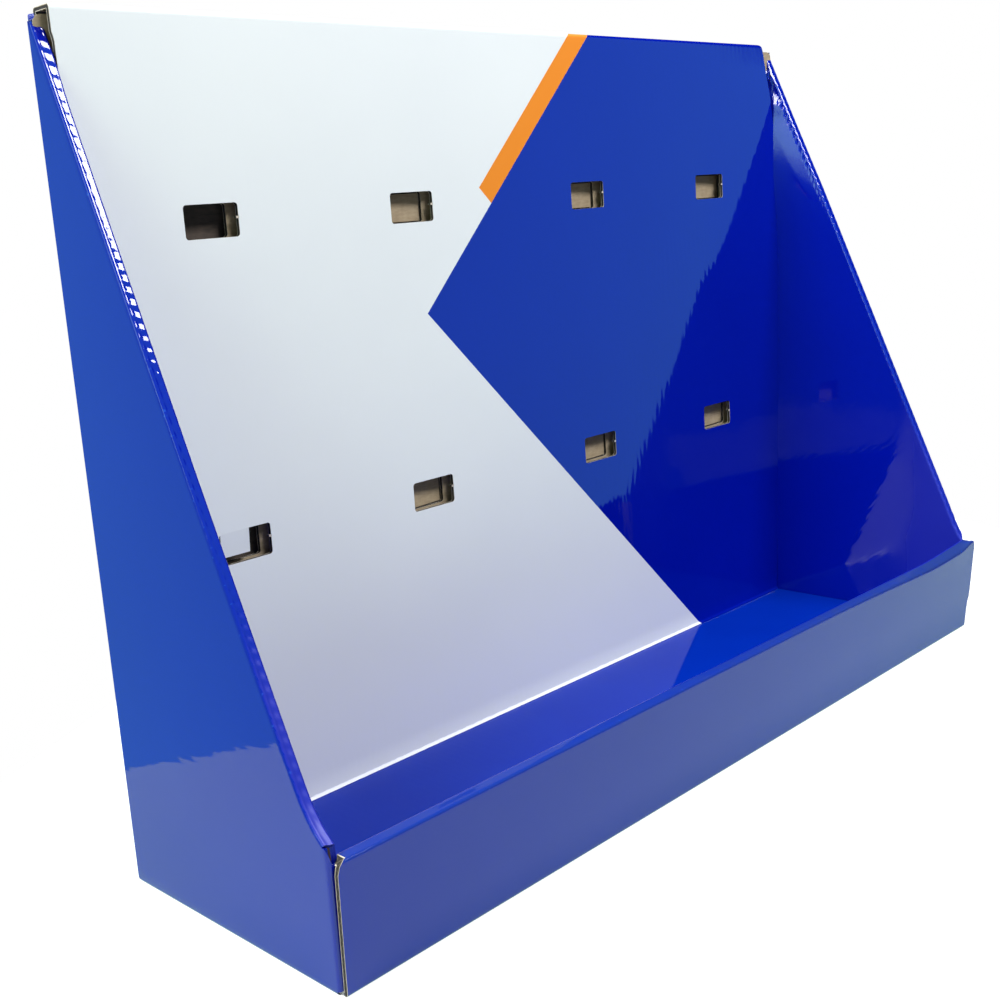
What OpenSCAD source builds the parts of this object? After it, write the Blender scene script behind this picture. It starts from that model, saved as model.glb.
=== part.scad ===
// Counter display box folded from two sheets of printed corrugated board.
// The tray has a base, a back wall, slanted double side walls and a low double front wall.
// The hook panel is a second sheet: a shelf on the base, an upright panel with eight hook
// holes, a narrow ridge over the tray's back wall and a leg that hangs behind that wall.
// X runs along the width, the front faces -Y and Z is up.

/* [Board] */
// Thickness of the corrugated board
board_t = 1.6; // [1.2:0.1:2.4]
// Outside radius of a pressed crease on a rolled-over edge
crease_r = 1.0; // [0.4:0.1:1.2]
// Outside radius of a plain fold between two panels
fold_r = 1.5; // [0.6:0.1:2.4]

/* [Tray] */
// Width over the outer side panels
tray_w = 400; // [340:1:500]
// Depth from the front wall's face to the back wall's outer face
tray_d = 110; // [90:1:150]
// Height of the back wall, and of the side walls at the rear
side_h = 287; // [240:1:340]
// Radius of the back wall's upper corners
back_corner_r = 3; // [1:0.5:8]

/* [Side walls] */
// Free space between the outer and the inner panel of a side wall
side_gap = 1.0; // [0.6:0.1:3]
// Height of the side walls at the front
side_front_h = 44; // [38:1:52]
// Height at which the straight slanted edge would reach the front
slant_foot_h = 31.5; // [20:0.5:34]
// Radius of the sweep that eases the slanted edge into the front corner
toe_r = 40; // [30:1:60]
// Length of the slanted cut at the top end of a rolled-over side edge
top_cut = 7; // [2:0.5:12]
// Outside radius of the fold from a side wall to its corner flap
corner_r = 2.2; // [0.6:0.1:2.6]
// Length of the corner flaps that turn in behind the front panel
flap_len = 42; // [20:1:80]

/* [Front wall] */
// Drop from the side walls' front end to the top of the front wall
front_drop = 1.6; // [0:0.2:8]
// Distance from a side's outer face to the front panel's raw end
front_inset = 1.2; // [0.4:0.1:3]
// Radius of the front wall's upper corners
front_corner_r = 3; // [1:0.5:8]

/* [Lock tabs] */
// Length of a lock tab under an inner panel
lock_len = 26; // [12:1:32]
// Distance between the two lock tabs of a side wall
side_lock_pitch = 46; // [36:1:50]
// Distance between the three lock tabs of the front wall
front_lock_pitch = 130; // [60:1:140]

/* [Hook panel] */
// Free space between the panel and the back wall
panel_gap = 2.6; // [0.5:0.1:8]
// Free space between the back wall and the leg behind it
leg_gap = 2.6; // [0.5:0.1:8]
// Free space between the back wall's top and the ridge over it
ridge_gap = 1.2; // [0.3:0.1:4]
// Outside radius of the two ridge folds
ridge_r = 1.4; // [0.6:0.1:2]
// Length of the leg, from the top of the ridge down
leg_len = 228; // [120:1:232]
// Radius of the panel's and the leg's corners
panel_corner_r = 3; // [1:0.5:8]

/* [Hook holes] */
// Width of a hook hole
hole_w = 22; // [12:0.5:30]
// Height of a hook hole
hole_h = 11.6; // [8:0.2:20]
// Radius of a hook hole's corners
hole_r = 1.2; // [0.4:0.1:3]
// Distance between the two middle columns of holes
middle_pitch = 105.5; // [60:0.5:130]
// Distance from a middle column to its outer column
outer_pitch = 92.25; // [50:0.25:96]
// Height of the lower row's centre line
low_row_h = 108; // [70:1:120]
// Distance between the two rows
row_pitch = 113.4; // [40:0.2:116]
// Reach of the small nick left on a hole's edge
nick_len = 0.9; // [0.3:0.1:2]
// Height of a nick
nick_h = 0.8; // [0.4:0.1:2]
// Opening beside the waste tab that is still hinged in the lower left hole
tab_side_gap = 9.3; // [4:0.1:11]
// Opening below that tab
tab_foot_gap = 2.8; // [1:0.1:5]
// Angle by which the tab is pushed in
tab_tilt = 4; // [1:0.5:12]
// Distance by which the back wall's cuts lie to the left of the panel's holes
cut_shift = 2.3; // [0:0.1:4]
// Width of the slit round a knock-out that is still in place
slit_w = 0.5; // [0.3:0.1:1]

/* [Clearances] */
// Side clearance between the hook panel and the inner side panels
panel_clear = 0.3; // [0.1:0.1:1]
// Clearance between the shelf and the base under it
shelf_clear = 0.3; // [0.1:0.1:0.8]
// Clearance on each face of a corner flap inside the front wall
flap_clear = 0.2; // [0.1:0.1:0.6]
// Clearance between the free edges of turned-in panels and what they stand on
edge_clear = 0.3; // [0.1:0.1:0.8]
// Clearance round a lock tab in its slot
lock_clear = 0.4; // [0.2:0.1:1]

/* [Hidden] */
$fn = 64;
fine = 180;
over = 1;
fold_dip = 0.004;
deep = tray_w + tray_d + side_h;

half_w = tray_w / 2;
side_wrap = 2 * board_t + side_gap;
front_wrap = 3 * board_t + 2 * flap_clear;
front_h = side_front_h - front_drop;
front_half = half_w - front_inset;
flap_y = board_t + flap_clear;
back_in = tray_d - board_t;
inner_front = flap_y + side_wrap;
inner_rear = back_in - edge_clear;
inner_foot = board_t + edge_clear;
side_lock_y = (inner_front + inner_rear) / 2;

// The slanted edge: its angle from the base, and the centre and ends of its front sweep
slant = atan2(side_h - slant_foot_h, tray_d);
slant_len = (side_h - slant_foot_h) / sin(slant);
toe_rise = side_front_h - slant_foot_h;
// (the sweep dips a hair below the slant, so that the two cross where they meet)
toe_dip = 0.05;
toe_k = toe_r - toe_dip;
toe_s = toe_rise * sin(slant) + sqrt(pow(toe_r, 2) - pow(toe_k - toe_rise * cos(slant), 2));
toe_y = toe_s * cos(slant) - toe_k * sin(slant);
toe_z = slant_foot_h + toe_s * sin(slant) + toe_k * cos(slant);
toe_end = atan2(side_front_h - toe_z, -toe_y);
toe_turn = slant - 90 - toe_end;
toe_past = 2 * acos(toe_k / toe_r);
roll_leg = 3 * board_t;

// The hook panel's faces and the places of its holes
panel_y = back_in - panel_gap - board_t;
leg_y = tray_d + leg_gap;
ridge_d = leg_y + board_t - panel_y;
ridge_h = side_h + ridge_gap + board_t;
leg_foot_h = ridge_h - leg_len;
shelf_z = board_t + shelf_clear;
shelf_y = front_wrap + edge_clear;
panel_half = half_w - side_wrap - panel_clear;
cols = [for (s = [-1, 1], k = [0, 1]) s * (middle_pitch / 2 + (s < 0 ? 1 - k : k) * outer_pitch)];
rows = [low_row_h, low_row_h + row_pitch];
tab_w = hole_w - slit_w - tab_side_gap;
tab_h = hole_h - tab_foot_gap;

// The whole display is centred front to back
mid_y = (leg_y + board_t) / 2;

print_blue = [0.05, 0.16, 0.62];
print_white = [0.92, 0.94, 0.96];

// Turns a drawing made in Y and Z into a solid of the given length along X
module along_x(len) {
    rotate([90, 0, 90]) linear_extrude(len) children();
}

// Turns a drawing made in X and Z into a solid that runs back from y = 0
module along_y(len) {
    translate([0, len, 0]) rotate([90, 0, 0]) linear_extrude(len) children();
}

// The sharp corner of a section outside a fold of radius r, which crosses both faces at a slight angle
module corner_cut(r) {
    c = r - fold_dip;
    difference() {
        translate([-over, -over]) square(c + over);
        translate([c, c]) circle(r);
    }
}

// A rectangle with its two upper corners rounded
module round_top(w, h, r) {
    translate([-w / 2, 0]) square([w, h - r]);
    translate([r - w / 2, h - 2 * r]) square([w - 2 * r, 2 * r]);
    for (s = [-1, 1]) translate([s * (w / 2 - r), h - r]) circle(r);
}

// A rectangle about the origin with four rounded corners
module round_rect(w, h, r) {
    square([w - 2 * r, h], center = true);
    square([w, h - 2 * r], center = true);
    for (x = [-1, 1], y = [-1, 1]) translate([x * (w / 2 - r), y * (h / 2 - r)]) circle(r);
}

// Side view of a side wall, drawn in Y and Z, o below its slanted edge and m past its other edges
module side_profile(o, m) {
    difference() {
        polygon([
            [-m, -m],
            [tray_d + m, -m],
            [tray_d + m, side_h - o / cos(slant) + m * tan(slant)],
            [toe_y + (toe_k + o) * sin(slant), toe_z - (toe_k + o) * cos(slant)],
            [-m, toe_z + (toe_y + m) / tan(slant)]
        ]);
        translate([toe_y, toe_z]) circle(toe_r + o, $fn = fine);
    }
}

// Places a section across the left wall's edge, its X across the wall, at the top end of the slant
module on_slant() {
    translate([-half_w, tray_d, side_h]) rotate([90 + slant, 0, 0]) children();
}

// What the two pressed creases of a rolled-over edge round off, as a section across it
module crease_cuts(wrap) {
    mirror([0, 1]) corner_cut(crease_r);
    translate([wrap, 0]) rotate(180) corner_cut(crease_r);
}

// The left wall's double panel: outer panel, edge rolled over along the slant and the sweep, inner panel
module rolled_panels() {
    in_x = -half_w + board_t;
    difference() {
        translate([-half_w, 0, 0]) along_x(side_wrap) side_profile(0, 0);
        // the space between the panels, and the inner panel's free edges
        translate([in_x, 0, 0]) along_x(side_gap) side_profile(board_t, over);
        translate([in_x, -over, -over]) cube([side_wrap, tray_d + 2 * over, inner_foot + over]);
        translate([in_x, inner_rear, -over]) cube([side_wrap, deep, deep]);
        // the creases, along the slant and round the sweep
        on_slant() translate([0, 0, -over]) linear_extrude(slant_len - toe_s + over) crease_cuts(side_wrap);
        translate([-half_w, toe_y, toe_z]) rotate([90, 0, 90]) rotate([0, 0, toe_end - toe_past])
            rotate_extrude(angle = toe_turn + 2 * toe_past, $fn = fine)
                translate([toe_r, 0]) rotate([0, 0, 90]) crease_cuts(side_wrap);
    }
}

// The same with the slanted cut at its top end and the mitre at its front corner
module side_panels() {
    difference() {
        rolled_panels();
        on_slant() translate([0, over, 0]) rotate([90, 0, 0]) linear_extrude(roll_leg + 2 * over)
            polygon([[0, 0], [0, -over], [side_wrap + over, -over], [side_wrap + over, top_cut],
                [side_wrap, top_cut]]);
        translate([0, 0, -over]) linear_extrude(deep) polygon([[-half_w - over, -over],
            [-half_w - over, flap_y - over], [-half_w + side_wrap + over, inner_front + over], [0, -over]]);
    }
}

// The left wall: its double panel, lock tabs below it and the corner flap behind the front panel
module side_wall() {
    side_panels();
    for (s = [-0.5, 0.5]) translate([-half_w + side_wrap - board_t, side_lock_y + s * side_lock_pitch, 0])
        translate([0, -lock_len / 2, edge_clear]) cube([board_t, lock_len, board_t + over]);
    translate([-half_w, flap_y, inner_foot])
        cube([flap_len, board_t, front_h - board_t - edge_clear - inner_foot]);
}

// The front wall: outer panel, rolled edge and inner panel, with mitred ends
module front_wall() {
    intersection() {
        translate([-front_half, 0, 0]) along_x(2 * front_half) difference() {
            square([front_wrap, front_h]);
            translate([board_t, -over]) square([front_wrap - 2 * board_t, front_h - board_t + over]);
            translate([board_t, -over]) square([front_wrap, inner_foot + over]);
            translate([0, front_h]) crease_cuts(front_wrap);
        }
        linear_extrude(deep) polygon([[-front_half, 0], [front_half, 0], [front_half, board_t],
            [front_half - front_wrap + board_t, front_wrap],
            [-front_half + front_wrap - board_t, front_wrap], [-front_half, board_t]]);
        along_y(front_wrap) round_top(2 * front_half, front_h, front_corner_r);
    }
    for (k = [-1:1]) translate([k * front_lock_pitch - lock_len / 2, front_wrap - board_t, edge_clear])
        cube([lock_len, board_t, board_t + over]);
}

// A slot for a lock tab, drawn in X and Y about the tab's centre
module lock_slot(turn) {
    rotate(turn) square([lock_len + 2 * lock_clear, board_t + 2 * lock_clear], center = true);
}

// The base, with a slot for each lock tab of the inner panels
module base() {
    linear_extrude(board_t) difference() {
        union() {
            translate([-front_half, 0]) square([2 * front_half, tray_d]);
            translate([-half_w, flap_y]) square([tray_w, tray_d - flap_y]);
        }
        for (k = [-1:1]) translate([k * front_lock_pitch, front_wrap - board_t / 2]) lock_slot(0);
        for (x = [-1, 1], s = [-0.5, 0.5])
            translate([x * (half_w - side_wrap + board_t / 2), side_lock_y + s * side_lock_pitch])
                lock_slot(90);
    }
}

// A die-cut knock-out: the slit round it, with a nick left on each side
module knock_out_slit() {
    difference() {
        round_rect(hole_w, hole_h, hole_r);
        round_rect(hole_w - 2 * slit_w, hole_h - 2 * slit_w, hole_r / 2);
        square([hole_w + over, 2 * nick_h], center = true);
    }
}

// The back wall, with the first column of knock-outs pushed out
module back_wall() {
    translate([0, back_in, 0]) along_y(board_t) difference() {
        round_top(tray_w, side_h, back_corner_r);
        for (c = cols, r = rows) translate([c - cut_shift, r]) {
            if (c == cols[0]) round_rect(hole_w, hole_h, hole_r);
            else knock_out_slit();
        }
    }
}

// What the folds along the base and up the corners round off
module tray_fold_cuts() {
    for (s = [0, 1]) mirror([s, 0, 0]) {
        translate([-half_w, tray_d + over, 0]) rotate([90, 0, 0]) linear_extrude(tray_d - flap_y + 2 * over)
            corner_cut(fold_r);
        translate([-half_w, flap_y, -over]) linear_extrude(side_front_h + 2 * over) corner_cut(corner_r);
        translate([-half_w, tray_d, -over]) linear_extrude(deep) mirror([0, 1]) corner_cut(fold_r);
    }
    translate([-half_w - over, 0, 0]) along_x(tray_w + 2 * over) {
        corner_cut(fold_r);
        translate([tray_d, 0]) mirror([1, 0]) corner_cut(fold_r);
    }
}

module display_tray() {
    color(print_blue) translate([0, -mid_y, 0]) difference() {
        union() {
            base();
            back_wall();
            front_wall();
            side_wall();
            mirror([1, 0, 0]) side_wall();
        }
        tray_fold_cuts();
    }
}

// Section of the hook panel's sheet: shelf, panel, ridge and leg
module panel_section() {
    difference() {
        union() {
            translate([shelf_y, shelf_z]) square([panel_y + board_t - shelf_y, board_t]);
            translate([panel_y, shelf_z]) square([board_t, ridge_h - shelf_z]);
            translate([panel_y, ridge_h - board_t]) square([ridge_d, board_t]);
            translate([leg_y, leg_foot_h]) square([board_t, ridge_h - leg_foot_h]);
        }
        translate([panel_y + board_t, shelf_z]) mirror([1, 0]) corner_cut(fold_r);
        translate([panel_y, ridge_h]) mirror([0, 1]) corner_cut(ridge_r);
        translate([panel_y + ridge_d, ridge_h]) rotate(180) corner_cut(ridge_r);
    }
}

module hook_holes() {
    for (c = cols, r = rows) translate([c, r]) difference() {
        round_rect(hole_w, hole_h, hole_r);
        translate([hole_w / 2 - nick_len, nick_h / 2]) square([nick_len + over, nick_h]);
    }
}

// The waste tab still hinged along the top of the lower left hole
module stuck_tab() {
    translate([cols[0] - hole_w / 2 + slit_w, panel_y, rows[0] + hole_h / 2]) {
        rotate([tab_tilt, 0, 0]) translate([0, 0, -tab_h]) cube([tab_w, board_t, tab_h]);
        translate([hole_r, 0, -board_t / 2]) cube([tab_w - hole_r, board_t, board_t]);
    }
}

module hook_panel() {
    color(print_white) translate([0, -mid_y, 0]) {
        difference() {
            intersection() {
                translate([-panel_half, 0, 0]) along_x(2 * panel_half) panel_section();
                along_y(deep) round_top(2 * panel_half, ridge_h, panel_corner_r);
            }
            translate([0, panel_y - over, 0]) along_y(board_t + 2 * over) hook_holes();
            translate([0, leg_y - over, leg_foot_h]) along_y(board_t + 2 * over)
                for (s = [0, 1]) mirror([s, 0]) translate([-panel_half, 0]) corner_cut(panel_corner_r);
        }
        stuck_tab();
    }
}

display_tray();
hook_panel();
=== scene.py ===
"""Counter display box of printed corrugated board: finishes, folded sheets, light and camera."""
import math

import bmesh
import bpy
from mathutils import Matrix, Vector


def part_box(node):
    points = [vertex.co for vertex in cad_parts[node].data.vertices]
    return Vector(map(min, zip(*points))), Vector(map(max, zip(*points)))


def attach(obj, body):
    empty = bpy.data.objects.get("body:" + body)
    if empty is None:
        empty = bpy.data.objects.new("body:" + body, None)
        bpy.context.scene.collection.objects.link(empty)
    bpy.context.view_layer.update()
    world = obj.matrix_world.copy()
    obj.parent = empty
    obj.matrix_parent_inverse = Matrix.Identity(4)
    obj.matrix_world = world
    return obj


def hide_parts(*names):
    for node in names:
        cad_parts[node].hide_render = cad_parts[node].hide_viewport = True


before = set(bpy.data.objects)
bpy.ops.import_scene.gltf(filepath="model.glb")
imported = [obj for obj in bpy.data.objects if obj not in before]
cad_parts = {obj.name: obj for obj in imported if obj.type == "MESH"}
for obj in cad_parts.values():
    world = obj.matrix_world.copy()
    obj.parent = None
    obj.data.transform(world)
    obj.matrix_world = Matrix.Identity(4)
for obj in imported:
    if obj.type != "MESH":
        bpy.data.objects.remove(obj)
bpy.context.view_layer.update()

# The board and its folds, in metres
BOARD = 0.0016
FOLD = 0.0015
CREASE = 0.0010
FLUTE_PITCH = 0.0036
CREASE_DENT = 0.00022

# The tray, from the CAD boxes. Depths are measured from the front wall's outer face.
TRAY_LOW, TRAY_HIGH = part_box("display_tray")
PANEL_LOW, PANEL_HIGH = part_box("hook_panel")
FRONT = TRAY_LOW[1]
HALF_W = TRAY_HIGH[0]
WALL_TOP = TRAY_HIGH[2]
DEPTH = 0.110
REAR_FOLD = 0.0008
BACK_CORNER = 0.003

# The side walls
SIDE_WRAP = 2 * BOARD + 0.0010
SLANT_FOOT = 0.0315
SLANT = math.atan2(WALL_TOP - SLANT_FOOT, DEPTH)
SIDE_FRONT_H = 0.044
TOE_R = 0.040
TOP_CUT = 0.0022
CORNER_R = 0.0014
FLAP_DEPTH = BOARD + 0.0002
FLAP_LEN = 0.042
FREE_GAP = 0.0003
INNER_FRONT = FLAP_DEPTH + BOARD + 0.0007
INNER_TOE = {-1: 0.0014, 1: 0.0044}
STATION_STEP = 0.0009
DISH = 0.00014

# The front wall
FRONT_WRAP = 3 * BOARD + 0.0004
FRONT_H = SIDE_FRONT_H - 0.0016
FRONT_INSET = 0.0012
FRONT_HALF = HALF_W - FRONT_INSET
FRONT_CORNER = 0.0038
MITRE = 1.25
FRONT_STEP = 0.0013
FRONT_STEP_RISE = (0.0115, 0.0170)

# The lock tabs under the inner panels
LOCK_LEN = 0.026
SIDE_LOCK_PITCH = 0.046
FRONT_LOCK_PITCH = 0.130

# The hook panel
PANEL_HALF = PANEL_HIGH[0]
RIDGE_TOP = PANEL_HIGH[2]
RIDGE_R = 0.0014
PANEL_DEPTH = DEPTH - BOARD - 0.0026 - BOARD
LEG_DEPTH = DEPTH + 0.0026
LEG_FOOT = RIDGE_TOP - 0.228
SHELF_Z = PANEL_LOW[2]
SHELF_FRONT = FRONT_WRAP + FREE_GAP
PANEL_CORNER = 0.003
PANEL_CORNER_LEFT = 0.0005
TUCK_START = (0.254, 0.264)
TUCK_END = (0.2785, 0.2815)
BEAD = ((-0.0007, 0.0), (-0.00078, 0.0002), (-0.00064, 0.00046), (-0.00038, 0.0008), (-0.00013, 0.00112),
        (0.0, 0.0015))
BEAD_LENGTH = sum(math.dist(a, b) for a, b in zip(BEAD, BEAD[1:]))
PANEL_RUN = PANEL_DEPTH - SHELF_FRONT + BEAD[0][0] + BEAD_LENGTH - BEAD[-1][1] - SHELF_Z - BOARD

# The hook holes
HOLE_W = 0.022
HOLE_H = 0.0116
HOLE_R = 0.0012
COLUMNS = (-0.145, -0.05275, 0.05275, 0.145)
ROWS = (0.108, 0.2214)
CUT_SHIFT = 0.0023
CUT_GAP = 0.0010
TAB_W = 0.0122
TAB_H = 0.0088
TAB_INSET = 0.0005
NICK_LEN = 0.0009
NICK_H = 0.0008
NICK_ROOT = 0.0002

# Grid lines of the sheets: steps, places near a cut edge, parts of a rounded corner, places under the ridge
ACROSS_STEP = 0.006
BACK_STEP = 0.012
PANEL_STEP = 0.008
LEG_STEP = 0.010
RIM_LINES = (0.0005, 0.0015, 0.003, 0.006, 0.012)
CORNER_PARTS = (0.1, 0.3, 0.6, 1.0)
RIDGE_LINES = (0.0115, 0.010, 0.0085, 0.003, 0.002)
FIT_STRETCH = 0.012
TURN_STEPS = 6
HOLE_CORNER_STEPS = 5

# Points are one vertex within a grid of this many to the metre. NEAR and SAME are allowances in metres.
WELD_GRID = 1e6
NEAR = 1e-6
SAME = 1e-7
SHARP_ANGLE = math.radians(38)

# Finish places on every sheet. The last one is a dark liner that is painted shade
PRINT, KRAFT, RAW, RUBBED, PAINTED_SHADE = 0, 1, 2, 3, 4


def ease(low, high, value):
    """0 below low, 1 above high, and a smooth step between."""
    t = min(max((value - low) / (high - low), 0.0), 1.0)
    return t * t * (3.0 - 2.0 * t)


def along(table, value):
    """Linear interpolation in a short table of (place, amount) pairs."""
    if value <= table[0][0]:
        return table[0][1]
    for (a, va), (b, vb) in zip(table, table[1:]):
        if value <= b:
            return va + (vb - va) * (value - a) / (b - a)
    return table[-1][1]


def lines(low, high, step, marks=()):
    """Grid lines from low to high that pass through the marks and are at most step apart."""
    stops = sorted({round(v, 7) for v in (low, high, *marks) if low <= v <= high})
    result = []
    for a, b in zip(stops, stops[1:]):
        count = max(1, math.ceil((b - a) / step - NEAR))
        result += [a + (b - a) * k / count for k in range(count)]
    return result + [stops[-1]]


class Sheet:
    """One folded sheet of board: a printed skin, a kraft skin and the raw edges between them."""

    def __init__(self):
        self.mesh = bmesh.new()
        self.blank = self.mesh.loops.layers.uv.new("blank")
        self.fold = self.mesh.verts.layers.float.new("fold")
        self.scuff = self.mesh.verts.layers.float.new("scuff")
        self.known = {}

    def vertex(self, point, fold=0.0, scuff=0.0):
        key = tuple(round(c * WELD_GRID) for c in point)
        if key not in self.known:
            self.known[key] = self.mesh.verts.new(point)
            self.known[key][self.fold] = fold
            self.known[key][self.scuff] = scuff
        return self.known[key]

    def face(self, corners, finish):
        """A face from (vertex, blank place) corners, left out where it has no area."""
        kept = [c for k, c in enumerate(corners) if c[0] is not corners[k - 1][0]]
        verts = [c[0] for c in kept]
        if len(set(verts)) < 3 or len(set(verts)) != len(verts) or self.mesh.faces.get(verts):
            return
        face = self.mesh.faces.new(verts)
        face.material_index = finish
        face.smooth = True
        for loop, corner in zip(face.loops, kept):
            loop[self.blank].uv = corner[1]

    def board(self, skin, kraft, blank, raw=(), holes=(), shape=None, folds=None, rubs=None,
              turned=False, finish=PRINT, raw_from=0, last_finish=RAW,
              end_finish=RAW, painted_shade_from=None, scuff=None):
        """A stretch of board. skin, kraft and blank are grids of points and blank places.

        raw names the borders that show a cut edge: first and last row, start and end of the rows.
        The cut edges of the first and last row begin at column raw_from. The last row and the end of the
        rows may be covered by another finish. From the column given for it, the kraft side is painted dark:
        painted shade for the hollow seen through the hook holes.
        scuff gives how dull the film is at a place.
        holes are (row, row, column, column) ranges of lines, each with a corner cell at its corners.
        """
        rows, cols = len(skin), len(skin[0])
        shape = shape or (lambda p: p)
        folds = folds or [0.0] * cols
        rubs = rubs or [False] * cols
        scuff = scuff or (lambda p: 0.0)
        sv = [[self.vertex(shape(p), f, scuff(p)) for p, f in zip(row, folds)] for row in skin]
        kv = [[self.vertex(shape(p), f) for p, f in zip(row, folds)] for row in kraft]
        cut, corners = self.hole_cells(holes)

        def both(ring):
            top = [(sv[i][j], blank[i][j]) for i, j in ring]
            low = [(kv[i][j], blank[i][j]) for i, j in ring]
            columns = [j for i, j in ring]
            rubbed = rubs[min(columns)] and rubs[max(columns)]
            self.face(top[::-1] if turned else top, RUBBED if rubbed else finish)
            # Painted shade: from that column on, the kraft side takes the dark liner
            leg_shade = painted_shade_from is not None and min(columns) >= painted_shade_from
            self.face(low if turned else low[::-1], PAINTED_SHADE if leg_shade else KRAFT)

        def grid_rim(a, b):
            (i, j), (k, m) = a, b
            if j < raw_from and m < raw_from:
                return
            pa, pb = blank[i][j][1], blank[k][m][1]
            quad = [(sv[i][j], (pa, 0.0)), (kv[i][j], (pa, 1.0)),
                    (kv[k][m], (pb, 1.0)), (sv[k][m], (pb, 0.0))]
            at_end = j == m == cols - 1
            place = last_finish if i == k == rows - 1 else end_finish if at_end else RAW
            self.face(quad[::-1] if turned else quad, place)

        def open_cell(i, j):
            if i < 0:
                return "first" in raw
            if i > rows - 2:
                return "last" in raw
            if j < 0:
                return "start" in raw
            if j > cols - 2:
                return "end" in raw
            return (i, j) in cut

        for i in range(rows - 1):
            for j in range(cols - 1):
                if (i, j) in cut or (i, j) in corners:
                    continue
                both([(i, j), (i + 1, j), (i + 1, j + 1), (i, j + 1)])
                if open_cell(i, j - 1):
                    grid_rim((i, j), (i + 1, j))
                if open_cell(i + 1, j):
                    grid_rim((i + 1, j), (i + 1, j + 1))
                if open_cell(i, j + 1):
                    grid_rim((i + 1, j + 1), (i, j + 1))
                if open_cell(i - 1, j):
                    grid_rim((i, j + 1), (i, j))
        for (out, a, b, centre) in corners.values():
            self.corner_fan(skin, kraft, blank, shape, out, a, b, centre, turned, finish)

    def hole_cells(self, holes):
        """The cells that the holes take out, and those that hold a rounded hole corner."""
        cut, corners = set(), {}
        for i0, i1, j0, j1 in holes:
            cut |= {(i, j) for i in range(i0, i1) for j in range(j0, j1)}
            for i, di in ((i0, 1), (i1, -1)):
                for j, dj in ((j0, 1), (j1, -1)):
                    cell = (min(i, i + di), min(j, j + dj))
                    along_i, along_j = (i + di, j), (i, j + dj)
                    turn = di * dj > 0
                    ends = (along_j, along_i) if turn else (along_i, along_j)
                    corners[cell] = ((i, j), ends[0], ends[1], (i + di, j + dj))
        return cut - set(corners), corners

    def corner_fan(self, skin, kraft, blank, shape, out, a, b, centre, turned, finish):
        """The rounded corner of a hole: a fan on both skins and the cut edge along its arc."""
        steps = HOLE_CORNER_STEPS

        def arc(points):
            c, pa, pb = (Vector(points[k[0]][k[1]]) for k in (centre, a, b))
            turns = [math.pi / 2 * k / steps for k in range(steps + 1)]
            return [c + (pa - c) * math.cos(t) + (pb - c) * math.sin(t) for t in turns]

        places = arc(blank_3d(blank))
        tops = [self.vertex(shape(p)) for p in arc(skin)]
        lows = [self.vertex(shape(p)) for p in arc(kraft)]
        top = (self.vertex(shape(skin[out[0]][out[1]])), blank[out[0]][out[1]])
        low = (self.vertex(shape(kraft[out[0]][out[1]])), blank[out[0]][out[1]])
        for k in range(steps):
            pa, pb = (places[k].x, places[k].y), (places[k + 1].x, places[k + 1].y)
            upper = [top, (tops[k + 1], pb), (tops[k], pa)]
            lower = [low, (lows[k], pa), (lows[k + 1], pb)]
            edge = [(tops[k], (pa[1], 0.0)), (tops[k + 1], (pb[1], 0.0)),
                    (lows[k + 1], (pb[1], 1.0)), (lows[k], (pa[1], 1.0))]
            for ring, place in ((upper, finish), (lower, KRAFT), (edge, RAW)):
                self.face(ring[::-1] if turned else ring, place)

    def object(self, name, finishes):
        """The finished sheet as an object, with sharp cut edges and smooth folds."""
        data = bpy.data.meshes.new(name)
        self.mesh.to_mesh(data)
        self.mesh.free()
        for finish in finishes:
            data.materials.append(finish)
        data.set_sharp_from_angle(angle=SHARP_ANGLE)
        piece = bpy.data.objects.new(name, data)
        bpy.context.collection.objects.link(piece)
        return piece


def blank_3d(blank):
    """The grid of blank places as points, so that an arc can be laid through them."""
    return [[Vector((u, v, 0.0)) for u, v in row] for row in blank]


class Section:
    """A folded section drawn in depth and height: pairs of skin and kraft points along the sheet."""

    def __init__(self):
        self.skin, self.kraft, self.run, self.folds, self.rubs = [], [], [], [], []

    def add(self, skin, kraft, fold=0.0, rub=False):
        if self.skin and math.dist(self.skin[-1], skin) < SAME:
            return
        step = math.dist(self.skin[-1], skin) if self.skin else 0.0
        self.run.append((self.run[-1] if self.run else 0.0) + step)
        self.skin.append(skin)
        self.kraft.append(kraft)
        self.folds.append(fold)
        self.rubs.append(rub)

    def span(self, skin_a, skin_b, kraft_a, kraft_b, parts, rub=False):
        """A flat stretch through the given parts of its length."""
        for t in parts:
            skin = tuple(a + (b - a) * t for a, b in zip(skin_a, skin_b))
            kraft = tuple(a + (b - a) * t for a, b in zip(kraft_a, kraft_b))
            self.add(skin, kraft, 0.0, rub)

    def turn(self, centre, radius, start, end, kraft, rub=False):
        """A fold about a centre, with the kraft side pinched to one line."""
        for k in range(TURN_STEPS + 1):
            a = math.radians(start + (end - start) * k / TURN_STEPS)
            point = (centre[0] + radius * math.cos(a), centre[1] + radius * math.sin(a))
            self.add(point, kraft, math.sin(math.pi * (k + 0.5) / (TURN_STEPS + 1)), rub)


def even(count):
    """Even parts of a length, from 0 to 1."""
    return [k / count for k in range(count + 1)]


def panel_parts(count):
    """Parts of a flat panel between two folds, with a narrow first and last part beside them."""
    return [0.0, 0.012, *even(count)[1:-1], 0.988, 1.0]


def place(x, depth, z):
    """A point of the display from its width, its depth behind the front wall's face and its height."""
    return Vector((x, FRONT + depth, z))


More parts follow.
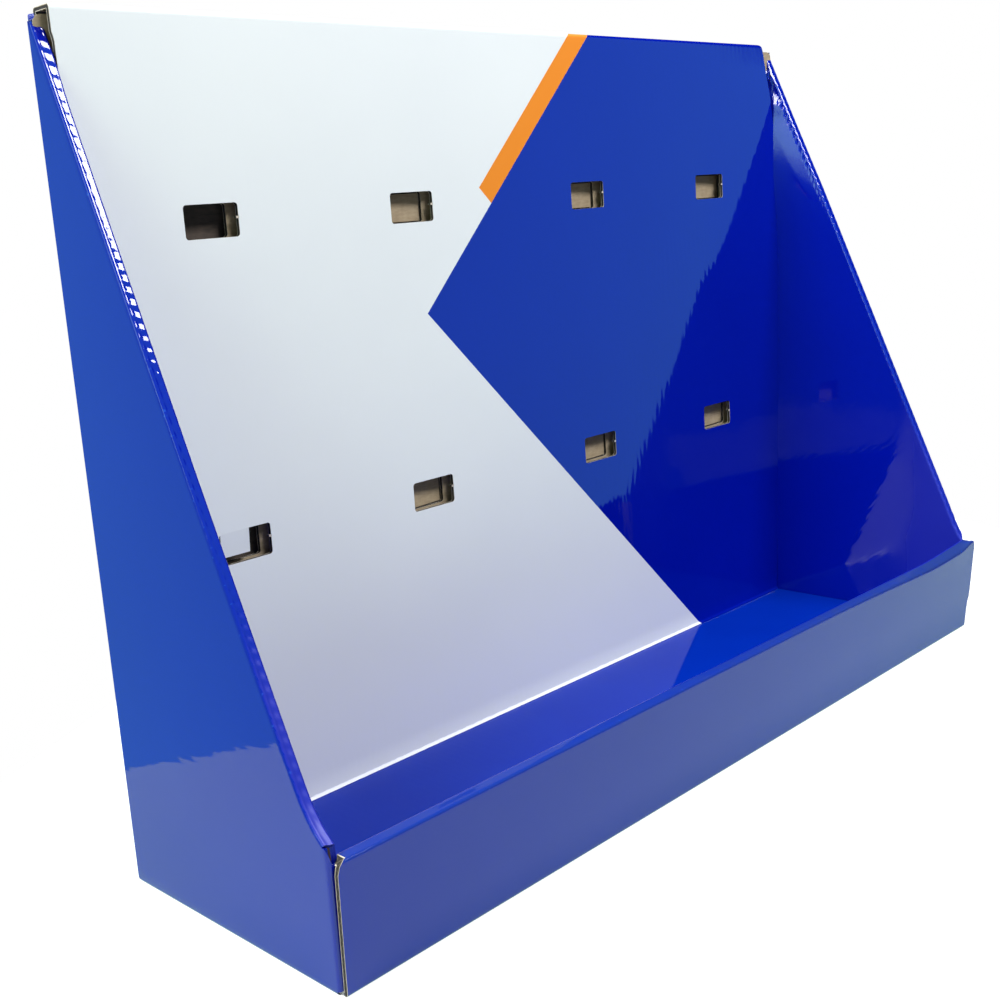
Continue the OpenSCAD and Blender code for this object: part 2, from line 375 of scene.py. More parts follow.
# Flex of the boards, in metres. Tables hold (height, amount) pairs, FOOT_AHEAD (width, amount) pairs.
RIGHT_LEAN = 0.0103
FRONT_LEAN = ((0.0, 0.0), (0.042, 0.0048))
FOOT_AHEAD = ((-0.2, 0.0020), (0.2, 0.0006))
LEAN_FROM = 0.060
RIGHT_SKEW = ((0.030, 0.0), (0.0435, -0.0010), (0.046, 0.0006), (0.050, 0.0021), (0.055, 0.0034),
              (0.060, 0.0037), (0.100, 0.0032), (0.200, 0.0021), (0.287, 0.0012))
LEFT_LEAN = ((0.0, 0.0020), (0.042, 0.0023), (0.050, 0.0014), (0.060, 0.0010), (0.100, 0.0004),
             (0.150, 0.0))
FRONT_SHARE = 0.62
ROLL_DROP = 0.0024
ROLL_DEPTH = 0.014
ROLL_FADE = (0.016, 0.002)
RIGHT_RISE = 0.0022
RISE_FROM = (0.150, 0.015)
REAR_HOLD = 0.030
WALL_REACH = (0.012, 0.006)
FLAP_FOLLOW = (0.002, 0.016)
SPRING = math.radians(20.0)
SPRING_FROM = 0.185
SPRING_FULL = 0.255
LEFT_SPRING = 0.0006
LEFT_SPRING_FROM = 0.256
LEFT_SPRING_FULL = 0.276
CRUMPLE = 0.0008
CRUMPLE_FROM = 0.246
CRUMPLE_FULL = 0.262
CRUMPLE_EDGE = 0.002
CRUMPLE_RATES = (390.0, 420.0, 60.0)
CRUMPLE_START = 1.1
MARGIN_FROM = 0.140
BOW_POWER = 1.6
REACH_FROM = 0.160
EDGE_BOW = ((0.005, 0.0), (0.080, 0.0009), (0.166, 0.0019), (0.215, 0.0023), (0.244, 0.0018),
            (0.262, 0.0012), (0.276, 0.0006), (0.289, 0.0))
EDGE_REACH = ((0.005, 0.0), (0.080, 0.0040), (0.166, 0.0068), (0.215, 0.0080), (0.244, 0.0064),
              (0.262, 0.0048), (0.269, 0.0034), (0.276, 0.0020), (0.288, 0.0))


def splay(point):
    """The right wall leans out and forward a little, and takes the back wall's right end with it.

    Near its top its inner panel springs open from the rolled edge and is crumpled. The left wall's front
    leans a little, and its inner panel stands in at the top.
    """
    out = RIGHT_LEAN * point.z / WALL_TOP * ease(LEAN_FROM, HALF_W, point.x)
    inward = point.x - (HALF_W - SIDE_WRAP)
    ahead_of_back = point.y < FRONT + DEPTH - BOARD - FREE_GAP / 2
    if ahead_of_back and -NEAR < inward < BOARD + NEAR and point.z > SPRING_FROM:
        from_edge = point.y - FRONT - (point.z - SLANT_FOOT) / math.tan(SLANT)
        out -= max(from_edge, 0.0) * math.tan(SPRING * ease(SPRING_FROM, SPRING_FULL, point.z))
        upward, inwards, slant = CRUMPLE_RATES
        folds = math.sin(upward * point.z + CRUMPLE_START)
        folds *= math.sin(inwards * from_edge + slant * point.z)
        crumple = CRUMPLE * folds * ease(CRUMPLE_FROM, CRUMPLE_FULL, point.z)
        out += crumple * ease(0.0, CRUMPLE_EDGE, from_edge)
    inside = HALF_W + point.x
    if ahead_of_back and inside < SIDE_WRAP + NEAR:
        spring = LEFT_SPRING * ease(BOARD, SIDE_WRAP - BOARD, inside)
        out += spring * ease(LEFT_SPRING_FROM, LEFT_SPRING_FULL, point.z)
    on_wall = ease(HALF_W - WALL_REACH[0], HALF_W - WALL_REACH[1], abs(point.x))
    from_rear = min(max((FRONT + DEPTH - point.y) / REAR_HOLD, 0.0), 1.0)
    ahead = along(RIGHT_SKEW if point.x > 0.0 else LEFT_LEAN, point.z)
    return Vector((point.x + out, point.y - ahead * on_wall * from_rear, point.z))


def lean(point):
    """The front wall leans forward above its foot and its top rolls over, most at its right end."""
    share = FRONT_SHARE + (1.0 - FRONT_SHARE) * ease(-HALF_W, HALF_W, point.x)
    ahead = along(FRONT_LEAN, point.z) * share
    ahead += along(FOOT_AHEAD, point.x) * (1.0 - min(point.z / FRONT_H, 1.0))
    out = RIGHT_LEAN * point.z / WALL_TOP * ease(LEAN_FROM, HALF_W, point.x)
    outside = 1.0 - min(max((point.y - FRONT) / FRONT_WRAP, 0.0), 1.0)
    before_end = 1.0 - ease(HALF_W - ROLL_FADE[0], HALF_W - ROLL_FADE[1], point.x)
    along_top = ease(LEAN_FROM, HALF_W, point.x) * before_end
    roll = ROLL_DROP * along_top * ease(FRONT_H - ROLL_DEPTH, FRONT_H, point.z) * outside
    rise = RIGHT_RISE * ease(RISE_FROM[0], HALF_W, point.x) * ease(RISE_FROM[1], FRONT_H, point.z)
    return Vector((point.x + out, point.y - ahead, point.z - roll + rise))


def flap_lean(point):
    """A corner flap follows its side wall at the fold and the front wall further in."""
    moved = splay(point)
    follow = ease(*FLAP_FOLLOW, HALF_W - abs(point.x))
    return moved + (lean(point) - moved) * follow


def curl(point):
    """The hook panel's right margin bows forward a little and reaches to the leaning wall."""
    if point.y > FRONT + PANEL_DEPTH + 2 * BOARD:
        return point
    margin = min(max((point.x - MARGIN_FROM) / (PANEL_HALF - MARGIN_FROM), 0.0), 1.0)
    bow = along(EDGE_BOW, point.z) * margin ** BOW_POWER
    reach = along(EDGE_REACH, point.z) * ease(REACH_FROM, PANEL_HALF, point.x)
    return Vector((point.x + reach, point.y - bow, point.z))


def hole_marks(centres, half, radius):
    """Grid lines that holes need: their edges and the ends of their corner arcs."""
    return [c + s * (half - inset) for c in centres for s in (-1, 1) for inset in (0.0, radius)]


def index_of(values, wanted):
    """The grid line nearest to a wanted place."""
    return min(range(len(values)), key=lambda k: abs(values[k] - wanted))


def across_lines(half, centres):
    """Grid lines across a sheet, through its holes' edges and close together at its own."""
    rims = [s * (half - e) for s in (-1, 1) for e in RIM_LINES]
    return lines(-half, half, ACROSS_STEP, hole_marks(centres, HOLE_W / 2, HOLE_R) + rims)


def hole_ranges(across, centres, heights, first):
    """The (row, row, column, column) ranges of the holes. The heights begin at column first."""
    ranges = []
    for c in centres:
        for z in ROWS:
            i0, i1 = (index_of(across, c + s * HOLE_W / 2) for s in (-1, 1))
            j0, j1 = sorted(first + index_of(heights, z + s * HOLE_H / 2) for s in (-1, 1))
            ranges.append((i0, i1, j0, j1))
    return ranges


def rounded(half, height, top, radius):
    """Half width of a panel whose top corners have this radius."""
    over = height - (top - radius)
    if over <= 0.0:
        return half
    return half - radius + math.sqrt(max(radius ** 2 - min(over, radius) ** 2, 0.0))


def fit(x, nominal, reach):
    """Draws the last stretch of a row in or out, so that the row ends at reach."""
    inside = nominal - FIT_STRETCH
    if abs(x) <= inside:
        return x
    return math.copysign(inside + (abs(x) - inside) * (reach - inside) / FIT_STRETCH, x)


def tray_section():
    """The tray from the back wall's top, along the base, to the foot of the front's inner panel."""
    back, inner = DEPTH - BOARD, FRONT_WRAP
    foot = BOARD + FREE_GAP
    section = Section()
    heights = lines(FOLD, WALL_TOP, BACK_STEP, hole_marks(ROWS, HOLE_H / 2, HOLE_R) + [2 * FOLD]
                    + [WALL_TOP - BACK_CORNER * t for t in CORNER_PARTS])
    for z in reversed(heights):
        section.add((DEPTH, z), (back, max(z, BOARD)))
    section.turn((DEPTH - FOLD, FOLD), FOLD, 0, -90, (back, BOARD))
    section.span((DEPTH - FOLD, 0.0), (FOLD, 0.0), (back, BOARD), (BOARD, BOARD), panel_parts(10))
    section.turn((FOLD, FOLD), FOLD, -90, -180, (BOARD, BOARD))
    under = FRONT_H - BOARD
    section.span((0.0, FOLD), (0.0, FRONT_H - CREASE), (BOARD, BOARD), (BOARD, under), panel_parts(14))
    section.turn((CREASE, FRONT_H - CREASE), CREASE, 180, 90, (BOARD, under), rub=True)
    section.span((CREASE, FRONT_H), (inner - CREASE, FRONT_H), (BOARD, under), (inner - BOARD, under),
                 even(3), rub=True)
    section.turn((inner - CREASE, FRONT_H - CREASE), CREASE, 90, 0, (inner - BOARD, under))
    section.span((inner, FRONT_H - CREASE), (inner, foot), (inner - BOARD, under),
                 (inner - BOARD, foot), panel_parts(12))
    return section


def tray_reach(x, depth, z, step):
    """Half width of the tray's sheet at a place of its section: step 0 back, 1 base, 2 front."""
    if step == 0:
        return rounded(HALF_W - REAR_FOLD, z, WALL_TOP, BACK_CORNER)
    if step == 1:
        return HALF_W - FOLD
    half = FRONT_HALF - FRONT_STEP * (1.0 - ease(*FRONT_STEP_RISE, z)) * (x > 0.0)
    mitre = half - MITRE * max(0.0, depth - BOARD)
    return min(mitre, rounded(half, z, FRONT_H, FRONT_CORNER))


# How dull the film is: on the front wall's roll, at the side walls' front ends and at the right top
BAND_SCUFF = 0.50
BAND_SCUFF_FROM = -0.05
TOE_SCUFF = (0.018, 0.042)
OUTER_SKIN = 0.0004
TOP_SCUFF = 0.30
TOP_SCUFF_RISE = (0.205, 0.235)


def front_scuff(point):
    """The front wall's rolled-over top is rubbed, most at its right end. In the rubbed print this also lays
    on a lighter haze that is partly painted sheen.
    """
    if point.y > FRONT + FRONT_WRAP or point.z < FRONT_H - CREASE - NEAR:
        return 0.0
    return BAND_SCUFF + (1.0 - BAND_SCUFF) * ease(BAND_SCUFF_FROM, HALF_W, point.x)


def back_base_front(sheet):
    """The back wall, the base and the rolled-over front wall, in one stretch."""
    section = tray_section()
    cuts = [c - CUT_SHIFT for c in COLUMNS]
    across = across_lines(HALF_W, cuts)
    back_last = next(k for k, p in enumerate(section.skin) if p[1] <= FOLD + SAME)
    base_last = max(k for k, p in enumerate(section.skin) if p[1] <= SAME)
    splits = [0 if k <= back_last else 1 if k <= base_last else 2 for k in range(len(section.skin))]

    def grid(points):
        rows = []
        for x in across:
            row = []
            for (depth, z), step in zip(points, splits):
                row.append(place(fit(x, HALF_W, tray_reach(x, depth, z, step)), depth, z))
            rows.append(row)
        return rows

    def shaped(point):
        return lean(point) if point.y < FRONT + FRONT_WRAP + NEAR else splay(point)

    heights = [p[1] for p in section.skin[:back_last + 1]]
    holes = hole_ranges(across, cuts, heights, 0)
    blank = [[(x, s) for s in section.run] for x in across]
    front = [k for k, s in enumerate(splits) if s == 2]
    sheet.board(grid(section.skin), grid(section.kraft), blank, ("start", "end"), holes, shaped,
                section.folds, section.rubs, scuff=front_scuff)
    corner = [k for k in range(back_last) if section.skin[k][1] > WALL_TOP - BACK_CORNER - SAME]
    for i in (0, len(across) - 1):
        edge_strip(sheet, section, corner, grid, i, shaped, i == 0)
        edge_strip(sheet, section, front, grid, i, shaped, i == 0)


def edge_strip(sheet, section, columns, grid, row, shape, turned):
    """A cut end of the sheet, along some columns of its section."""
    skin, kraft = grid(section.skin)[row], grid(section.kraft)[row]
    for j in columns[:-1]:
        ring = [(sheet.vertex(shape(skin[j])), (section.run[j], 0.0)),
                (sheet.vertex(shape(kraft[j])), (section.run[j], 1.0)),
                (sheet.vertex(shape(kraft[j + 1])), (section.run[j + 1], 1.0)),
                (sheet.vertex(shape(skin[j + 1])), (section.run[j + 1], 0.0))]
        sheet.face(ring[::-1] if turned else ring, RAW)


def slanted_edge():
    """Depth, height and outward normal of the slanted edge by distance from its top end, and its length."""
    run_y, run_z = math.cos(SLANT), math.sin(SLANT)
    rise = SIDE_FRONT_H - SLANT_FOOT
    reach = rise * run_z + math.sqrt(TOE_R ** 2 - (TOE_R - rise * run_y) ** 2)
    centre = (reach * run_y - TOE_R * run_z, SLANT_FOOT + reach * run_z + TOE_R * run_y)
    straight = DEPTH / run_y - reach
    first = SLANT - math.pi / 2

    def at(distance):
        if distance <= straight:
            return (DEPTH - distance * run_y, WALL_TOP - distance * run_z), (-run_z, run_y)
        a = first - (distance - straight) / TOE_R
        point = (centre[0] + TOE_R * math.cos(a), centre[1] + TOE_R * math.sin(a))
        return point, (-math.cos(a), -math.sin(a))

    def distance_at(depth):
        if depth >= centre[0] + TOE_R * math.cos(first):
            return (DEPTH - depth) / run_y
        a = -math.acos((depth - centre[0]) / TOE_R)
        return straight + (first - a) * TOE_R

    return at, distance_at


# Steps of a side wall's row: its foot fold, outer panel, creases, slanted band and inner panel, whose
# parts are close together where it is crumpled
FOOT_STEPS = 4
OUTER_PARTS = panel_parts(12)[1:]
CREASE_STEPS = 5
BAND_STEPS = 7
INNER_PARTS = [0.006, 0.012, 0.020, 0.030, 0.042, 0.056, 0.070, *even(12)[1:-1], 0.988, 1.0]

# Places in that row: the outer panel's first and last point, the band's start and the inner crease
OUTER_FIRST = FOOT_STEPS
OUTER_LAST = OUTER_FIRST + len(OUTER_PARTS)
BAND_FIRST = OUTER_LAST + CREASE_STEPS
INNER_CREASE = BAND_FIRST + BAND_STEPS

# Flute dents, as shares of the deepest one: on the outer crease, the band and the right inner crease.
# Drifts are (amount, rate) of the unevenness along the band, and the left wall's dents come and go.
OUTER_DENT = 0.12
BAND_DENT = 0.48
BAND_DENT_EDGE = 0.6
INNER_DENT = 0.7
DENT_FLOOR = -0.4
FLUTE_DRIFTS = ((1.7, 61.0), (0.8, 173.0))
LEFT_DENT = 0.6
LEFT_DENT_SWING = 0.4
LEFT_DENT_RATES = (97.0, 41.0)
LEFT_DENT_START = 0.7


def wall_scuff(point):
    """The side walls' inner film is dull towards their front ends and at the top of the right one."""
    if abs(point.x) > HALF_W - OUTER_SKIN:
        return 0.0
    front = 1.0 - ease(*TOE_SCUFF, point.y - FRONT)
    on_right_panel = HALF_W - SIDE_WRAP - NEAR < point.x < HALF_W - BOARD
    top = TOP_SCUFF * ease(*TOP_SCUFF_RISE, point.z) if on_right_panel else 0.0
    return max(front, top)


def side_wall(sheet, side):
    """A side wall: fold from the base, outer panel, rolled-over slanted edge and inner panel."""
    at, distance_at = slanted_edge()
    outer = (distance_at(DEPTH - REAR_FOLD), distance_at(FLAP_DEPTH + CORNER_R))
    inner = (outer[0] + TOP_CUT, distance_at(INNER_FRONT - INNER_TOE[side]))
    count = math.ceil((outer[1] - outer[0]) / STATION_STEP)
    foot = BOARD + FREE_GAP
    rear_in = DEPTH - BOARD - FREE_GAP
    front_in = INNER_FRONT
    skin, kraft, blank, folds = [], [], [], []
    for k in range(count + 1):
        t = k / count
        top_o, norm_o = at(outer[0] + (outer[1] - outer[0]) * t)
        top_i, norm_i = at(inner[0] + (inner[1] - inner[0]) * t)
        foot_o = DEPTH - REAR_FOLD + (FLAP_DEPTH + CORNER_R - DEPTH + REAR_FOLD) * t
        foot_i = rear_in + (front_in - rear_in) * t
        row = side_row(top_o, norm_o, top_i, norm_i, foot_o, foot_i, foot)
        skin.append([place(side * (HALF_W - w), y, z) for w, y, z in row[0]])
        kraft.append([place(side * (HALF_W - w), y, z) for w, y, z in row[1]])
        blank.append(row[2])
        folds = row[3]
    dented = dent_creases(skin, blank, folds, side)
    sheet.board(dented, kraft, blank, ("first", "last", "end"), (), splay, folds, turned=side > 0,
                raw_from=OUTER_LAST, last_finish=PRINT, scuff=wall_scuff)
    front = slice(OUTER_FIRST, OUTER_LAST + 1)
    corner_flap(sheet, side, dented[-1][front], kraft[-1][front])


def side_row(top_o, norm_o, top_i, norm_i, foot_o, foot_i, foot):
    """One line across a side wall's sheet: (width in, depth, height) points of both skins."""
    skin, kraft, blank, folds = [], [], [], []

    def add(s, k, b, fold=0.0):
        skin.append(s)
        kraft.append(k)
        blank.append(b)
        folds.append(fold)

    def below(top, norm, drop):
        return top[0] - norm[0] * drop, top[1] - norm[1] * drop

    for k in range(FOOT_STEPS + 1):
        a = math.pi / 2 * k / FOOT_STEPS
        add((FOLD - FOLD * math.sin(a), foot_o, FOLD - FOLD * math.cos(a)), (BOARD, foot_o, BOARD),
            (foot_o, 0.0), math.sin(math.pi * (k + 0.5) / (FOOT_STEPS + 1)))
    high, low = below(top_o, norm_o, CREASE), below(top_o, norm_o, BOARD)
    for t in OUTER_PARTS:
        y, z = foot_o + (high[0] - foot_o) * t, FOLD + (high[1] - FOLD) * t
        ky, kz = foot_o + (low[0] - foot_o) * t, BOARD + (low[1] - BOARD) * t
        add((0.0, y, z), (BOARD, ky, kz), (y, z))
    for k in range(1, CREASE_STEPS + 1):
        a = math.pi / 2 * k / CREASE_STEPS
        y, z = below(top_o, norm_o, CREASE - CREASE * math.sin(a))
        add((CREASE - CREASE * math.cos(a), y, z), (BOARD, low[0], low[1]), (y, z),
            math.sin(math.pi * (k + 0.5) / (CREASE_STEPS + 1)))
    low_i = below(top_i, norm_i, BOARD)
    for t in even(BAND_STEPS)[1:]:
        w = CREASE + (SIDE_WRAP - 2 * CREASE) * t
        dish = DISH * math.sin(math.pi * t)
        y, z = (a + (b - a) * t - n * dish for a, b, n in zip(top_o, top_i, norm_o))
        ky, kz = (a + (b - a) * t for a, b in zip(low, low_i))
        kw = BOARD + (SIDE_WRAP - 2 * BOARD) * t
        add((w, y, z), (kw, ky, kz), (y + norm_o[0] * w, z + norm_o[1] * w))
    for k in range(1, CREASE_STEPS + 1):
        a = math.pi / 2 * k / CREASE_STEPS
        y, z = below(top_i, norm_i, CREASE - CREASE * math.cos(a))
        add((SIDE_WRAP - CREASE + CREASE * math.sin(a), y, z), (SIDE_WRAP - BOARD, low_i[0], low_i[1]),
            (top_i[0] + norm_i[0] * SIDE_WRAP, top_i[1] + norm_i[1] * SIDE_WRAP),
            math.sin(math.pi * (k + 0.5) / (CREASE_STEPS + 1)))
    high_i = below(top_i, norm_i, CREASE)
    for t in INNER_PARTS:
        y, z = foot_i * t + high_i[0] * (1 - t), foot * t + high_i[1] * (1 - t)
        ky, kz = foot_i * t + low_i[0] * (1 - t), foot * t + low_i[1] * (1 - t)
        drop = -((y - top_i[0]) * norm_i[0] + (z - top_i[1]) * norm_i[1])
        mirror = SIDE_WRAP + 2 * drop
        add((SIDE_WRAP, y, z), (SIDE_WRAP - BOARD, ky, kz),
            (y + norm_i[0] * mirror, z + norm_i[1] * mirror))
    return skin, kraft, blank, folds


def flute_wave(v):
    """Height of the flutes at a place along a slanted band, from -1 to 1 and unevenly spaced."""
    turns = 2 * math.pi * v / FLUTE_PITCH
    for amount, rate in FLUTE_DRIFTS:
        turns += amount * math.sin(rate * v)
    return math.sin(turns)


def dent_share(column, fold, side):
    """How deep the flutes dent a column of a side wall's row."""
    across = (column - BAND_FIRST) / (INNER_CREASE - BAND_FIRST)
    if across > 1.0:
        crease = INNER_DENT * fold if side > 0 else 0.0
        return max(crease, BAND_DENT_EDGE * BAND_DENT * (2.0 - across))
    if across > 0.0:
        return BAND_DENT * (math.sin(math.pi * across) + BAND_DENT_EDGE * across ** 3)
    return OUTER_DENT * fold if column > OUTER_LAST else 0.0


def dent_creases(skin, blank, folds, side):
    """The flutes stand out in small dents on the slanted band and on the right wall's inner crease."""
    first, second = LEFT_DENT_RATES
    result = []
    for row, places in zip(skin, blank):
        points = []
        for j, (point, (_, v), fold) in enumerate(zip(row, places, folds)):
            swing = LEFT_DENT_SWING * math.sin(first * v + LEFT_DENT_START) * math.sin(second * v)
            strength = 1.0 if side > 0 else LEFT_DENT + swing
            lift = CREASE_DENT * dent_share(j, fold, side) * strength * max(flute_wave(v), DENT_FLOOR)
            points.append(Vector((point.x + side * lift, point.y - lift, point.z + lift)))
        result.append(points)
    return result


def rear_corner(sheet, side):
    """The upright fold between a side wall and the back wall."""
    steps = 4
    skin, kraft, blank = [], [], []
    slope = math.tan(SLANT)
    for k in range(steps + 1):
        a = math.pi / 2 * k / steps
        x = HALF_W - REAR_FOLD + REAR_FOLD * math.cos(a)
        depth = DEPTH - REAR_FOLD + REAR_FOLD * math.sin(a)
        top = WALL_TOP - (DEPTH - depth) * slope
        heights = [FOLD + (top - FOLD) * t for t in even(24)]
        skin.append([place(side * x, depth, z) for z in heights])
        kraft.append([place(side * (HALF_W - BOARD), DEPTH - BOARD, z) for z in heights])
        blank.append([(depth, z) for z in heights])
    sheet.board(skin, kraft, blank, ("end",), (), splay, turned=side < 0, end_finish=PRINT)


def corner_flap(sheet, side, wall_skin, wall_kraft):
    """The upright fold at a side wall's front end and the flap that turns in behind the front panel.

    It starts from the wall's own front points, so that both are one sheet.
    """
    foot = BOARD + FREE_GAP
    low_top = FRONT_H - BOARD - FREE_GAP
    centre = (HALF_W - CORNER_R, FLAP_DEPTH + CORNER_R)
    steps = 6
    stops = []
    for k in range(1, steps + 1):
        a = math.pi / 2 * k / steps
        out = (centre[0] + CORNER_R * math.cos(a), centre[1] - CORNER_R * math.sin(a))
        stops.append((out, (HALF_W - BOARD, FLAP_DEPTH + BOARD), k / steps))
    for t in even(10)[1:]:
        x = centre[0] - (FLAP_LEN - CORNER_R) * t
        stops.append(((x, FLAP_DEPTH), (min(x, HALF_W - BOARD), FLAP_DEPTH + BOARD), 1.0))
    skin, kraft, blank = [wall_skin], [wall_kraft], [[(0.0, p.z) for p in wall_skin]]
    run = 0.0
    before = (HALF_W, centre[1])
    for out, near, done in stops:
        run += math.dist(out, before)
        before = out
        skin_row, kraft_row = [], []
        for p, q in zip(wall_skin, wall_kraft):
            share = (p.z - wall_skin[0].z) / (wall_skin[-1].z - wall_skin[0].z)
            z = p.z + (foot + (low_top - foot) * share - p.z) * done ** 2
            kz = q.z + (foot + (low_top - foot) * share - q.z) * done ** 2
            skin_row.append(place(side * out[0], out[1], z))
            kraft_row.append(place(side * near[0], near[1], kz))
        skin.append(skin_row)
        kraft.append(kraft_row)
        blank.append([(run, p.z) for p in skin_row])
    sheet.board(skin, kraft, blank, ("last", "start", "end"), (), flap_lean, turned=side > 0,
                end_finish=PRINT)


def plate(sheet, corner, across, up, size, shape=None, finish=PRINT, step=0.004, blank_from=(0.0, 0.0)):
    """A small flat piece of board with all its edges cut, from a lower corner and two directions."""
    normal = across.cross(up).normalized()
    u_lines, v_lines = lines(0.0, size[0], step), lines(0.0, size[1], step)
    skin = [[corner + across * u + up * v for v in v_lines] for u in u_lines]
    kraft = [[p - normal * BOARD for p in row] for row in skin]
    blank = [[(blank_from[0] + v, blank_from[1] + u) for v in v_lines] for u in u_lines]
    sheet.board(skin, kraft, blank, ("first", "last", "start", "end"), (), shape, finish=finish)


def knock_outs(sheet):
    """The waste of the back wall's cuts, still held in place, each pushed back a little on one side."""
    width, height = HOLE_W - CUT_GAP, HOLE_H - CUT_GAP
    pushes = {COLUMNS[1]: (5.0, 3.4), COLUMNS[2]: (3.0, 3.6), COLUMNS[3]: (3.4, 3.0)}
    for c, turns in pushes.items():
        for z, turn in zip(ROWS, turns):
            a = math.radians(turn)
            left = place(c - CUT_SHIFT + width / 2, DEPTH, z - height / 2)
            across = Vector((-math.cos(a), -math.sin(a), 0.0))
            left.y += width * math.sin(a)
            plate(sheet, left, across, Vector((0.0, 0.0, 1.0)), (width, height), splay, step=0.006)


def lock_tabs(sheet):
    """The tabs under the inner panels, which sit in the base's slots."""
    up = Vector((0.0, 0.0, 1.0))
    middle = (FLAP_DEPTH + SIDE_WRAP + DEPTH - BOARD - FREE_GAP) / 2
    for side in (-1, 1):
        for s in (-0.5, 0.5):
            x = side * (HALF_W - SIDE_WRAP)
            depth = middle + s * SIDE_LOCK_PITCH - LOCK_LEN / 2 * -side
            plate(sheet, place(x, depth, FREE_GAP), Vector((0.0, -side, 0.0)), up, (LOCK_LEN, BOARD), splay)
    for k in (-1, 0, 1):
        corner = place(k * FRONT_LOCK_PITCH + LOCK_LEN / 2, FRONT_WRAP, FREE_GAP)
        plate(sheet, corner, Vector((-1.0, 0.0, 0.0)), up, (LOCK_LEN, BOARD))


def display_tray(finishes):
    """The tray's sheet: back wall, base, front wall, both side walls and their flaps."""
    sheet = Sheet()
    back_base_front(sheet)
    for side in (-1, 1):
        side_wall(sheet, side)
        rear_corner(sheet, side)
    knock_outs(sheet)
    lock_tabs(sheet)
    return sheet.object("tray_sheet", finishes)


def panel_section():
    """The hook panel from the shelf's front edge, up the panel, over the ridge and down the leg."""
    section = Section()
    top, front, rear = SHELF_Z + BOARD, PANEL_DEPTH, LEG_DEPTH + BOARD
    section.span((SHELF_FRONT, top), (front + BEAD[0][0], top), (SHELF_FRONT, SHELF_Z),
                 (front + BOARD - FOLD, SHELF_Z), panel_parts(12), rub=True)
    for across, up in BEAD[1:-1]:
        section.add((front + across, top + up), (front + BOARD, SHELF_Z + FOLD))
    heights = lines(top + BEAD[-1][1], RIDGE_TOP - RIDGE_R, PANEL_STEP,
                    hole_marks(ROWS, HOLE_H / 2, HOLE_R) + [RIDGE_TOP - t for t in RIDGE_LINES])
    for z in heights:
        section.add((front, z), (front + BOARD, min(max(z, SHELF_Z + FOLD), RIDGE_TOP - BOARD)))
    section.turn((front + RIDGE_R, RIDGE_TOP - RIDGE_R), RIDGE_R, 180, 90,
                 (front + BOARD, RIDGE_TOP - BOARD))
    section.span((front + RIDGE_R, RIDGE_TOP), (rear - RIDGE_R, RIDGE_TOP),
                 (front + BOARD, RIDGE_TOP - BOARD), (LEG_DEPTH, RIDGE_TOP - BOARD), even(4))
    section.turn((rear - RIDGE_R, RIDGE_TOP - RIDGE_R), RIDGE_R, 90, 0, (LEG_DEPTH, RIDGE_TOP - BOARD))
    corner = [LEG_FOOT + PANEL_CORNER * t for t in CORNER_PARTS]
    for z in reversed(lines(LEG_FOOT, RIDGE_TOP - RIDGE_R, LEG_STEP, corner)):
        section.add((rear, z), (LEG_DEPTH, min(z, RIDGE_TOP - BOARD)))
    return section


def panel_reach(x, depth, z):
    """Half width of the hook panel's sheet, less where its top right and its leg's corners are rounded."""
    if depth > LEG_DEPTH - NEAR and z < LEG_FOOT + PANEL_CORNER:
        return rounded(PANEL_HALF, 2 * LEG_FOOT - z, LEG_FOOT, PANEL_CORNER)
    if x > 0.0:
        return rounded(PANEL_HALF, z, RIDGE_TOP, PANEL_CORNER)
    tucked = LEFT_SPRING * ease(*TUCK_START, z) * (1.0 - ease(*TUCK_END, z))
    return rounded(PANEL_HALF, z, RIDGE_TOP, PANEL_CORNER_LEFT) - tucked


def hook_panel(finishes):
    """The hook panel's sheet, with its holes, nicks and the waste tab that is still hinged."""
    sheet = Sheet()
    section = panel_section()
    across = across_lines(PANEL_HALF, COLUMNS)

    def grid(points):
        return [[place(fit(x, PANEL_HALF, panel_reach(x, *p)), *p) for p in points] for x in across]

    first = next(k for k, p in enumerate(section.skin) if p[0] > PANEL_DEPTH - SAME)
    last = next(k for k in range(first, len(section.skin)) if section.skin[k][0] > PANEL_DEPTH + SAME)
    heights = [p[1] for p in section.skin[first:last]]
    holes = hole_ranges(across, COLUMNS, heights, first)
    blank = [[(s, x) for s in section.run] for x in across]
    # The leg's kraft side is painted dark: painted shade for the hollow behind the hook holes
    leg = next(k for k, p in enumerate(section.skin) if p[0] > LEG_DEPTH)
    sheet.board(grid(section.skin), grid(section.kraft), blank, ("first", "last", "start", "end"), holes,
                curl, section.folds, section.rubs, painted_shade_from=leg)
    hole_nicks(sheet)
    waste_tab(sheet)
    return sheet.object("panel_sheet", finishes)


def hole_nicks(sheet):
    """The small torn bridges left on the holes' right edges."""
    for c in COLUMNS:
        for z in ROWS:
            corner = place(c + HOLE_W / 2 - NICK_LEN, PANEL_DEPTH, z + NICK_H / 2)
            plate(sheet, corner, Vector((1.0, 0.0, 0.0)), Vector((0.0, 0.0, 1.0)),
                  (NICK_LEN + NICK_ROOT, NICK_H), curl, finish=RAW)


def waste_tab(sheet):
    """The waste of the lower left hole, hinged along the hole's top edge."""
    tilt = math.radians(4.0)
    top = place(COLUMNS[0] - HOLE_W / 2 + TAB_INSET, PANEL_DEPTH, ROWS[0] + HOLE_H / 2)
    up = Vector((0.0, -math.sin(tilt), math.cos(tilt)))
    plate(sheet, top - up * TAB_H, Vector((1.0, 0.0, 0.0)), up, (TAB_W, TAB_H), step=0.002,
          blank_from=(PANEL_RUN + top.z - TAB_H, top.x))


